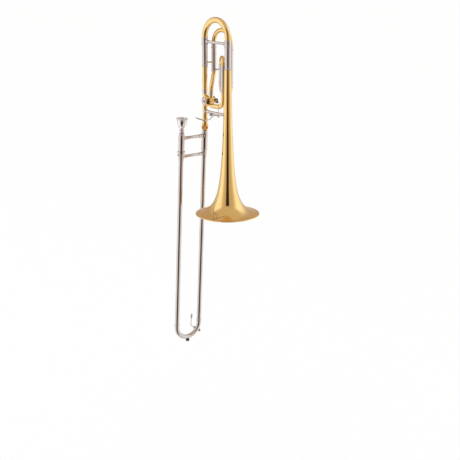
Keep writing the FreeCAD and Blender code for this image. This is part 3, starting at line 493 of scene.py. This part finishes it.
# ---- neckpipe, gooseneck and feed tubes -------------------------------------------------------
# Drawn brass tubes, filled with pitch, bent and soldered to the valve's ports. Each runs from its
# port to a sleeve in straight runs joined by round bends.
tubing, given = geometry_tree("tube_along_route", [
    ("Outer radius", "Float", 0.008), ("Sides", "Int", 64), ("Bend steps", "Int", 24)])
bends = place(tubing, "GeometryNodeInputNamedAttribute", {"Name": "bend"}, data_type="FLOAT")
line = place(tubing, "GeometryNodeMeshToCurve", {"Mesh": given["Geometry"]}).outputs[0]
eased = place(tubing, "GeometryNodeFilletCurve", {"Curve": line, "Count": given["Bend steps"],
                                                  "Radius": bends.outputs["Attribute"]},
              mode="POLY").outputs[0]
ring_of = place(tubing, "GeometryNodeCurvePrimitiveCircle", {"Resolution": given["Sides"],
                                                             "Radius": given["Outer radius"]},
                mode="RADIUS").outputs["Curve"]
skin = place(tubing, "GeometryNodeCurveToMesh", {"Curve": eased, "Profile Curve": ring_of})
end_tree(tubing, skin.outputs[0], LACQUERED_BRASS)


def bent_tube(corners, radii, outer, wall, sides=64, steps=24):
    """Hollow tube through corner points, each corner rounded to its radius; millimetres."""
    route = bpy.data.meshes.new("route")
    route.from_pydata([Vector(corner) * MM for corner in corners],
                      [(i, i + 1) for i in range(len(corners) - 1)], [])
    bend = route.attributes.new("bend", "FLOAT", "POINT")
    bend.data.foreach_set("value", [0.0] + [radius * MM for radius in radii] + [0.0])
    mesh = run_tree(tubing, route, {"Outer radius": outer * MM, "Sides": sides,
                                    "Bend steps": steps})
    return with_wall(point_outwards(mesh, Vector(corners[0]) * MM), wall * MM)


VALVE = Vector((-101, 0, 373))
NECK_X, BELL_X = -118, 0
MAIN_TUBE, F_TUBE = 8.4, 7.25
PORT_REACH = 16.0
DIAGONAL = math.sqrt(0.5)


def port(x_side, z_side, reach):
    """Point on one of the valve's four diagonal ports."""
    return VALVE + Vector((x_side * DIAGONAL, 0, z_side * DIAGONAL)) * reach


def port_corner(z_side, x):
    """Where a port's diagonal meets the upright line at x."""
    return Vector((x, 0, VALVE.z + z_side * abs(x - VALVE.x)))


SPLAY = math.radians(3.1)
TWIST = math.radians(-3.0)
SLIDE_FOOT = Vector((NECK_X, 0, 300))
SLIDE_TURN = Matrix.Rotation(SPLAY, 4, "Y") @ Matrix.Rotation(TWIST, 4, "Z")
SLIDE = Matrix.Translation(SLIDE_FOOT * MM) @ SLIDE_TURN
UP_SLIDE = SLIDE_TURN @ Vector((0, 0, 1))
GOOSENECK_BEND = 16
NECK_BEND, NECK_TIP = 100, 4

neck = bent_tube([port(-1, -1, PORT_REACH), port_corner(-1, NECK_X), SLIDE_FOOT,
                  SLIDE_FOOT - UP_SLIDE * NECK_TIP], [GOOSENECK_BEND, NECK_BEND], MAIN_TUBE,
                 WALL)
piece("neck_tube", neck, LACQUERED_BRASS, "bell_section", "lacquered_brass", "neckpipe")
out_tube = bent_tube([port(-1, 1, PORT_REACH), port_corner(1, NECK_X), (NECK_X, 0, 492)],
                     [GOOSENECK_BEND], MAIN_TUBE, WALL)
piece("gooseneck", out_tube, LACQUERED_BRASS, "bell_section", "lacquered_brass",
      "main_out_tube")
# The four upright runs of the valve's loop, as X and Y, in the loop's own order from the return
# tube to the feed tube: A and C hold the long slide, D and E the short one.
LEG_A, LEG_C, LEG_D, LEG_E = (-102, 26), (-17, 26), (-64, 26), (-23, 0)
RETURN_STEP = 15
return_x = VALVE.x + RETURN_STEP
f_return = bent_tube([port(1, 1, PORT_REACH), port_corner(1, return_x), (return_x, 0, 416),
                      (*LEG_A, 462), (*LEG_A, 475)], [10, 30, 22], F_TUBE, WALL)
piece("valve_return_tube", f_return, LACQUERED_BRASS, "bell_section", "lacquered_brass",
      "f_return_tube")
FEED_DROP = 14.4
feed_height = VALVE.z - FEED_DROP
f_feed = bent_tube([port(1, -1, PORT_REACH), (VALVE.x + FEED_DROP, 0, feed_height),
                    (LEG_E[0], 0, feed_height), (*LEG_E, 424)], [10, 27], F_TUBE, WALL)
piece("valve_feed_tube", f_feed, LACQUERED_BRASS, "bell_section", "lacquered_brass",
      "f_feed_tube")


BEND_SHARE = 0.985              # of half the width: the two quarter bends must not meet


def u_tube(first, last, start, straight, outer, up=1, wall=WALL):
    """Two parallel legs joined by a half circle, above them or below."""
    half = math.dist(first, last) / 2
    crown = start + up * (straight + half)
    return bent_tube([(*first, start), (*first, crown), (*last, crown), (*last, start)],
                     [half * BEND_SHARE] * 2, outer, wall, steps=32)


lower_bow = u_tube(LEG_D, LEG_C, 441, 17, F_TUBE, up=-1)
piece("lower_bow", lower_bow, LACQUERED_BRASS, "bell_section", "lacquered_brass",
      "f_lower_bow")

# ---- sleeves and ferrules ---------------------------------------------------------------------
# Nickel-silver outer tubes of the three tuning slides, with a raised bead at each end, and the
# short ferrules that cover the soldered joints.
NICKEL = polished("nickel_silver", (0.65, 0.595, 0.59), (0.57, 0.515, 0.51), 0.07, 0.16)


def sleeve_mesh(axis, foot, top, bore):
    """Outer tube of a slide, with two low beads at its foot and a wide one at its top."""
    outer = bore + WALL
    foot_beads = [(0.5, 0), (0.8, 1), (0.8, 2.4), (0.3, 3), (0.3, 3.6), (0.7, 4.2), (0.7, 5.4),
                  (0, 6)]
    top_bead = [(0, -4.4), (0.9, -4), (1.2, -3.2), (1.2, -0.8), (0.8, 0)]
    return turned([(bore, foot)] + [(outer + out, foot + up) for out, up in foot_beads]
                  + [(outer + out, top + up) for out, up in top_bead] + [(bore, top)],
                  (*axis, 0), soft=0.5)


SLEEVES = {
    "main_sleeve_left": [((NECK_X, 0), 485, 561, 8.4)],
    "main_sleeve_right": [((BELL_X, 0), 488, 561, 10.0)],
    "f_sleeves": [(LEG_A, 469, 550, F_TUBE), (LEG_C, 439, 550, F_TUBE)],
    "small_sleeve_d": [(LEG_D, 436, 484, F_TUBE)],
    "small_sleeve_e": [(LEG_E, 419, 484, F_TUBE)]}
for node, tubes in SLEEVES.items():
    piece(node + "_outer", joined(*[sleeve_mesh(*sizes) for sizes in tubes]), NICKEL,
          "bell_section", "nickel_silver", node)


def ferrule_mesh(axis, low, high, inner):
    """Short collar over a soldered joint, with a lip at each end."""
    outer = inner + WALL
    return turned([(inner, low), (outer, low), (outer, low + 1.6), (outer - 0.35, low + 2.2),
                   (outer - 0.35, high - 2.2), (outer, high - 1.6), (outer, high), (inner, high)],
                  (*axis, 0), soft=0.4)


ferrules = joined(ferrule_mesh((NECK_X, 0), 397, 409, MAIN_TUBE),
                  ferrule_mesh((return_x, 0), 394, 405, F_TUBE),
                  ferrule_mesh(LEG_C, 424, 439, F_TUBE), ferrule_mesh(LEG_D, 424, 436, F_TUBE),
                  ferrule_mesh(LEG_E, 409, 419, F_TUBE))
piece("joint_ferrules", ferrules, NICKEL, "bell_section", "nickel_silver", "tube_ferrules")

# ---- tuning slides ----------------------------------------------------------------------------
# Three U-shaped crooks, brass above and nickel silver where they slide, each pulled by hand to
# tune the instrument. Only the main one has a brace.


def leg_mesh(axis, foot, top, outer):
    """Plain inner tube of a tuning slide."""
    return turned([(outer - WALL, foot), (outer, foot), (outer, top), (outer - WALL, top)],
                  (*axis, 0), soft=0.15)


def leg_ferrule_mesh(axis, low, high, leg, crook):
    """Collar where a slide's inner leg meets its crook."""
    middle, outer = (low + high) / 2, max(leg, crook) + WALL
    return turned([(leg, low), (outer + 0.5, low), (outer + 0.5, low + 2), (outer, low + 2.6),
                   (outer, high - 3), (outer + 0.25, high - 2.4), (outer + 0.25, high - 0.8),
                   (outer - 0.4, high), (crook, high), (crook, middle), (leg, middle)],
                  (*axis, 0), soft=0.4)


# Body, name, two legs, ferrule's foot and top, start of the bend, crook's radius, legs' radii,
# legs' length, and the frame nodes of crook, legs and ferrules.
TUNING_SLIDES = [
    ("tuning_slide", "tuning", (NECK_X, 0), (BELL_X, 0), 561.5, 583, 584, 9.6, (8.35, 9.95), 70,
     ("tuning_crook", "tuning_legs", "tuning_ferrules")),
    ("f_tuning_slide", "long_f", LEG_A, LEG_C, 550.5, 562, 566.5, F_TUBE, (7.2, 7.2), 70,
     ("f_crook", "f_legs", "f_crook_ferrules")),
    ("small_f_slide", "short_f", LEG_D, LEG_E, 484.5, 496, 496.5, F_TUBE, (7.2, 7.2), 42,
     ("small_crook", "small_legs", "small_crook_ferrules"))]
for (body, name, first, last, low, high, bend_from, crook_radius, legs, length,
     nodes) in TUNING_SLIDES:
    join = (low + high) / 2
    crook_mesh = u_tube(first, last, join, bend_from - join, crook_radius)
    piece(name + "_bow", crook_mesh, LACQUERED_BRASS, body, "lacquered_brass", nodes[0])
    leg_pair = joined(*[leg_mesh(axis, join - length, join, outer)
                        for axis, outer in zip((first, last), legs)])
    piece(name + "_inner_legs", leg_pair, NICKEL, body, "nickel_silver", nodes[1])
    pair = joined(*[leg_ferrule_mesh(axis, low, high, outer, crook_radius)
                    for axis, outer in zip((first, last), legs)])
    piece(name + "_rings", pair, NICKEL, body, "nickel_silver", nodes[2])

# ---- braces -----------------------------------------------------------------------------------
# Nickel-silver tubes soldered between the legs, each end flared into a turned foot. The bell
# brace also carries the lugs of the thumb lever, and small brass stays steady the wrap.


def brace_meshes(first, last, bar, foot, length, start_gap, end_gap):
    """A bar and its two turned feet between two points, with the feet set in from the points."""
    first, last = Vector(first), Vector(last)
    along_bar = (last - first).normalized()
    span = (last - first).length
    bar_mesh = turned([(bar - 1.2, start_gap + 2), (bar, start_gap + 2), (bar, span - end_gap - 2),
                       (bar - 1.2, span - end_gap - 2)], first, along_bar, sides=40, soft=0.1)
    outline = [(bar, 0), (foot, 0), (foot, 2.4), (foot - 0.5, 3.2), (bar + 1.6, 4.4, 2.0),
               (bar + 0.6, 7, 3.0), (bar + 0.5, length - 1.5), (bar + 0.9, length - 1.2),
               (bar + 0.9, length), (bar, length)]
    feet = joined(turned(outline, first + along_bar * start_gap, along_bar, sides=48),
                  turned(outline, last - along_bar * end_gap, along_bar * -1, sides=48))
    return bar_mesh, feet


def moved_by(matrix, mesh):
    """The same mesh, moved."""
    mesh.transform(matrix)
    return mesh


BELL_BRACE, TUNING_BRACE = 336, 569.6
bar_mesh, feet_mesh = brace_meshes((NECK_X, 0, BELL_BRACE), (BELL_X, 0, BELL_BRACE), 4.5, 8.0,
                                   20, 5.0, 12.5)
piece("bell_brace_bar", bar_mesh, NICKEL, "bell_section", "nickel_silver", "bell_brace")
piece("bell_brace_feet", feet_mesh, NICKEL, "bell_section", "nickel_silver",
      "bell_brace_flanges")
bar_mesh, feet_mesh = brace_meshes((NECK_X, 0, TUNING_BRACE), (BELL_X, 0, TUNING_BRACE), 4.4, 6.0,
                                   12, 9.0, 9.0)
piece("tuning_brace_bar", bar_mesh, NICKEL, "tuning_slide", "nickel_silver", "tuning_brace")
piece("tuning_brace_feet", feet_mesh, NICKEL, "tuning_slide", "nickel_silver",
      "tuning_brace_flanges")


def dressed(node, material, slot, body, name):
    """Smooth-shaded copy of a frame node, for a machined or cast piece."""
    shape = bmesh.new()
    shape.from_mesh(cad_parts[node].data)
    bmesh.ops.remove_doubles(shape, verts=shape.verts, dist=2e-6)
    bmesh.ops.dissolve_degenerate(shape, edges=shape.edges, dist=1e-6)
    mesh = bpy.data.meshes.new(name)
    shape.to_mesh(mesh)
    shape.free()
    return piece(name, mesh, material, body, slot, node)


dressed("wrap_stays", LACQUERED_BRASS, "lacquered_brass", "bell_section", "tubing_stays")

# ---- rotary valve -----------------------------------------------------------------------------
# A brass casing with four soldered ports and a solid rotor inside. A turned cap closes one face,
# and a bearing plate on the other carries the stop bumpers.
dressed("valve_casing", LACQUERED_BRASS, "lacquered_brass", "bell_section", "valve_body")
CASING_BACK = VALVE - Vector((0, 16, 0))
cap = turned([(0, 0), (11.5, 0), (11.5, 2.6), (11.0, 3.2), (9.6, 3.3), (9.3, 2.9), (8.7, 2.9),
              (8.4, 3.4), (6.6, 3.5), (6.2, 3.1), (5.4, 3.1), (5.2, 4.6, 1.2), (3.6, 6.4, 2.4),
              (1.6, 7.2, 1.2), (0, 7.3)], CASING_BACK, (0, -1, 0), sides=96)
piece("rotor_cap", cap, NICKEL, "bell_section", "nickel_silver", "valve_cap")
dressed("bearing_plate", LACQUERED_BRASS, "lacquered_brass", "bell_section", "front_bearing")
BARE_BRASS = polished("bare_brass", (0.78, 0.56, 0.28), (0.60, 0.41, 0.20), 0.18, 0.34)
refinish("rotor", BARE_BRASS)
dressed("stop_arm", NICKEL, "nickel_silver", "valve_rotor", "stop_collar_and_arm")
SCREW_STEEL = polished("screw_steel", (0.62, 0.61, 0.60), (0.5, 0.48, 0.46), 0.14, 0.28)
dressed("stop_screws", SCREW_STEEL, "steel_screws", "valve_rotor", "action_screws")


def dull(name, dark, light, scale, roughness, relief):
    """Matt material with a mottled colour, for rubber and cork."""
    material = bpy.data.materials.new(name)
    material.use_nodes = True
    tree = material.node_tree
    shader = tree.nodes["Principled BSDF"]
    place_in = place(tree, "ShaderNodeTexCoord").outputs["Object"]
    grain = place(tree, "ShaderNodeTexNoise", {"Vector": place_in, "Scale": scale, "Detail": 6.0,
                                               "Roughness": 0.7}).outputs["Fac"]
    cells = place(tree, "ShaderNodeTexVoronoi", {"Vector": place_in, "Scale": scale * 1.7})
    tree.links.new(blended(tree, smooth_step(tree, grain, 0.35, 0.65), dark, light),
                   shader.inputs["Base Color"])
    tree.links.new(smooth_step(tree, grain, 0.2, 0.8, roughness - 0.12, roughness + 0.1),
                   shader.inputs["Roughness"])
    bump = place(tree, "ShaderNodeBump", {"Height": cells.outputs["Distance"],
                                          "Strength": relief, "Distance": 0.0003})
    tree.links.new(bump.outputs["Normal"], shader.inputs["Normal"])
    return material


RUBBER = dull("black_rubber", (0.008, 0.008, 0.008), (0.028, 0.026, 0.024), 900.0, 0.6, 0.3)
CORK = dull("cork", (0.24, 0.13, 0.06), (0.55, 0.36, 0.19), 700.0, 0.85, 0.6)
dressed("stop_bumpers", RUBBER, "black_bumper", "bell_section", "rotor_bumpers")

# ---- thumb lever and link ---------------------------------------------------------------------
# A cast lever on a pin under the bell brace. The thumb presses its paddle, and a straight link
# turns the rotor's arm; a coil spring round the pin brings it back.
dressed("lever_saddle", NICKEL, "nickel_silver", "bell_section", "lever_lugs_and_pin")
dressed("thumb_lever", NICKEL, "nickel_silver", "lever", "trigger_lever")
dressed("thumb_paddle", NICKEL, "nickel_silver", "lever", "trigger_paddle")
dressed("link_rod", NICKEL, "nickel_silver", "link", "action_link")

coil, given = geometry_tree("wound_coil", [
    ("Turns", "Float", 4.0), ("Coil radius", "Float", 0.004), ("Wire radius", "Float", 0.0005),
    ("Length", "Float", 0.004)])
helix = place(coil, "GeometryNodeCurveSpiral", {
    "Resolution": 48, "Rotations": given["Turns"], "Start Radius": given["Coil radius"],
    "End Radius": given["Coil radius"], "Height": given["Length"]}).outputs[0]
wire_ring = place(coil, "GeometryNodeCurvePrimitiveCircle", {
    "Resolution": 10, "Radius": given["Wire radius"]}, mode="RADIUS").outputs["Curve"]
wound = place(coil, "GeometryNodeCurveToMesh", {"Curve": helix, "Profile Curve": wire_ring,
                                                "Fill Caps": True}).outputs[0]
end_tree(coil, wound, SPRING_STEEL)


def coil_mesh(turns, radius, wire, length, matrix):
    """Close-wound spring with its axis along the matrix's Z, starting at its origin."""
    mesh = run_tree(coil, SEED_POINT.copy(), {"Turns": float(turns), "Coil radius": radius * MM,
                                               "Wire radius": wire * MM, "Length": length * MM})
    shape = bmesh.new()
    shape.from_mesh(mesh)
    bmesh.ops.recalc_face_normals(shape, faces=shape.faces)
    shape.to_mesh(mesh)
    shape.free()
    return moved_by(matrix, mesh)


SPRING_START = Vector((-85.2, 0, 327))
along_pin = Matrix.Translation(SPRING_START * MM) @ Matrix.Rotation(math.pi / 2, 4, "Y")
spring = coil_mesh(5, 4.0, 0.5, 5.0, along_pin)
piece("trigger_spring", spring, SPRING_STEEL, "bell_section", "steel_wire", "lever_spring")

# ---- socket and lock nut ----------------------------------------------------------------------
# The neckpipe ends in a tapered brass socket, soldered on. A fluted brass nut of a redder alloy
# turns on it and draws the hand slide's tenon in.


def on_slide(mesh):
    """Move a mesh from the hand slide's own frame to its place under the neckpipe."""
    return moved_by(SLIDE, mesh)


receiver = turned([(8.4, 12), (8.9, 11), (9.0, 10), (9.0, -24), (8.35, -24), (7.95, -5),
                   (7.5, -5), (7.5, -4), (8.4, -4)], soft=0.15)
piece("slide_socket", on_slide(receiver), LACQUERED_BRASS, "bell_section", "lacquered_brass",
      "neckpipe_receiver")
NUT_BRASS = polished("lock_nut_brass", (0.84, 0.50, 0.17), (0.76, 0.42, 0.13), 0.12, 0.22,
                     coat=0.12)
FLUTES = (28, 0.9, -24.5, -14.5)
nut = turned([(9.05, -8), (9.8, -8), (10.0, -8.6), (10.0, -10.6), (10.4, -12), (11.2, -14),
              (11.2, -14.8), (11.2, -17.6), (11.2, -24.2), (11.2, -25.2), (10.8, -26),
              (9.8, -27.4), (8.8, -27.5), (8.8, -24.6), (9.05, -24.6)], soft=0.25, flutes=FLUTES)
piece("fluted_lock_nut", on_slide(nut), NUT_BRASS, "lock_nut", "lacquered_brass",
      "bell_lock_nut")

# ---- hand slide, inner part -------------------------------------------------------------------
# Two straight chromed tubes with thicker stockings at their ends, held by nickel-silver barrels
# that hide the corks, and joined by the upper brace.
WIDTH = 96.0
SIDES = (Vector((0, 0, 0)), Vector((0, -WIDTH, 0)))
CHROME = polished("hard_chrome", (0.66, 0.66, 0.67), (0.58, 0.58, 0.59), 0.05, 0.12)


def pair_of(outline, **settings):
    """The same turned piece on both legs of the hand slide."""
    return on_slide(joined(*[turned(outline, side, **settings) for side in SIDES]))


dressed("slide_tenon", NICKEL, "nickel_silver", "slide_section", "tapered_tenon")
inner = pair_of([(6.4, -50), (7.0, -50), (7.0, -603), (7.1, -605), (7.1, -723), (6.9, -724),
                 (6.4, -724)], sides=56, soft=0.2)
piece("inner_slide_tubes", inner, CHROME, "slide_section", "chromed_slide", "inner_tubes")
barrels = pair_of([(7.2, -30), (8.5, -30), (8.9, -33), (9.2, -34), (10.1, -35.4), (10.2, -37),
                   (10.2, -40), (9.9, -40.6), (9.9, -41.4), (10.2, -42), (10.2, -91), (10.0, -92),
                   (10.0, -93), (10.6, -94.4, 0.8), (10.8, -96.2, 1.0), (10.6, -98, 0.8),
                   (10.0, -99.5), (9.2, -99.5), (9.2, -50), (7.2, -50)])
piece("cork_barrel_pair", barrels, NICKEL, "slide_section", "nickel_silver", "cork_barrels")
corks = pair_of([(7.0, -87.5), (9.2, -87.5), (9.2, -50), (7.0, -50)], sides=48, soft=0.4)
piece("cork_buffers", corks, CORK, "slide_section", "cork", "barrel_corks")


SLIDE_FOOT_LENGTH = 19


def slide_brace_mesh(height, bar, foot, gap):
    """Bar and feet between the two legs, as one mesh."""
    bar_mesh, feet_mesh = brace_meshes((0, 0, height), (0, -WIDTH, height), bar, foot,
                                       SLIDE_FOOT_LENGTH, gap, gap)
    return on_slide(joined(bar_mesh, feet_mesh))


piece("upper_slide_brace", slide_brace_mesh(-48.0, 5.2, 8.4, 6.0), NICKEL, "slide_section",
      "nickel_silver", "inner_brace")
dressed("mouthpiece_receiver", NICKEL, "nickel_silver", "slide_section", "mouthpiece_socket")

# ---- mouthpiece -------------------------------------------------------------------------------
# Turned from one brass bar and silver plated: a rounded rim, a deep cup, a narrow throat and a
# tapered shank.
SILVER = polished("silver_plate", (0.80, 0.77, 0.81), (0.71, 0.67, 0.68), 0.05, 0.13,
                  stretch=(500.0, 500.0, 1600.0))
CUP = 22.0
mouthpiece_mesh = turned([
    (15.4, CUP, 2.0), (17.8, CUP - 0.5, 2.0), (19.4, CUP - 2.4, 1.4), (19.4, CUP - 4.2, 1.0),
    (17.4, CUP - 6, 1.6), (16.8, CUP - 9, 4.0), (16.2, CUP - 14, 6.0), (15.0, CUP - 20, 6.0),
    (12.2, CUP - 27, 6.0), (8.8, CUP - 32, 3.0), (8.2, CUP - 33.4, 0.5), (6.9, CUP - 33.9, 0.5),
    (6.2, -13), (5.6, -42), (4.4, -42), (3.6, CUP - 34, 3.0), (3.5, CUP - 28, 3.0),
    (6.5, CUP - 23, 4.0), (9.8, CUP - 17, 6.0), (12.0, CUP - 9, 6.0), (12.8, CUP - 3, 3.0),
    (13.6, CUP - 0.8, 2.0)], SIDES[1], sides=96)
piece("silver_mouthpiece", on_slide(mouthpiece_mesh), SILVER, "mouthpiece_body", "silver_plate",
      "mouthpiece")

# ---- slide lock -------------------------------------------------------------------------------
# A nickel-silver ring that turns on the foot of one barrel. Its hook catches a stud on the
# outer slide, so that the slide cannot run out by itself.
dressed("slide_lock_ring", NICKEL, "nickel_silver", "slide_lock", "lock_ring")

# ---- hand slide, outer part -------------------------------------------------------------------
# Two nickel-silver tubes that run over the inner ones, with reinforced tops, the lower brace and
# the end crook with its ferrules and bumper.
outer_pair = pair_of([(7.15, -88), (7.65, -88), (7.65, -733), (7.15, -733)], sides=64, soft=0.15)
piece("outer_slide_tubes", outer_pair, NICKEL, "outer_slide", "nickel_silver", "outer_tubes")
dressed("outer_top_sleeves", NICKEL, "nickel_silver", "outer_slide", "top_sleeves_and_stud")
piece("lower_slide_brace", slide_brace_mesh(-111.0, 4.9, 7.8, 4.6), NICKEL, "outer_slide",
      "nickel_silver", "outer_brace")
end_bow = u_tube((0, 0), (0, -WIDTH), -733, 5, 7.65, up=-1)
piece("end_bow", on_slide(end_bow), NICKEL, "outer_slide", "nickel_silver", "end_crook")
end_rings = pair_of([(7.65, -726), (8.4, -726), (8.9, -728), (8.9, -729.6), (8.6, -730.2),
                     (8.6, -733.8), (8.9, -734.4), (8.9, -736), (8.4, -738), (7.65, -738)])
piece("end_bow_ferrules", end_rings, NICKEL, "outer_slide", "nickel_silver", "crook_ferrules")
tip = turned([(0, -789), (5.5, -789), (5.5, -795.5), (6.6, -796.2, 0.5), (6.6, -801.5, 1.2),
              (5.4, -803, 1.2), (0, -803)], SIDES[1] * 0.5, sides=48, soft=0.4)
piece("end_bumper", on_slide(tip), RUBBER, "outer_slide", "black_bumper", "slide_bumper")

# ---- water key --------------------------------------------------------------------------------
# A nickel-silver lever on a pin between two posts, soldered to the end crook. Two coil springs
# hold its cork on a nipple, and a touch lifts it to let the water out.
dressed("water_key_saddle", NICKEL, "nickel_silver", "outer_slide", "key_posts_and_nipple")
dressed("water_key", NICKEL, "nickel_silver", "key", "key_lever")
dressed("water_key_cork", RUBBER, "black_bumper", "key", "key_cork")
KEY_ANGLE = math.radians(35)
BOW_START, KEY_PIN = -738, -12.5
on_bow = Vector((0, -WIDTH / 2 * (1 - math.cos(KEY_ANGLE)),
                 BOW_START - WIDTH / 2 * math.sin(KEY_ANGLE)))
key_frame = SLIDE @ Matrix.Translation(on_bow * MM) @ Matrix.Rotation(-KEY_ANGLE, 4, "X")
key_springs = joined(*[
    coil_mesh(3, 2.8, 0.35, 2.0,
              key_frame @ Matrix.Translation(Vector((KEY_PIN, 0, along_key)) * MM))
    for along_key in (1.7, -3.7)])
piece("key_spring_pair", key_springs, SPRING_STEEL, "outer_slide", "steel_wire",
      "water_key_spring")
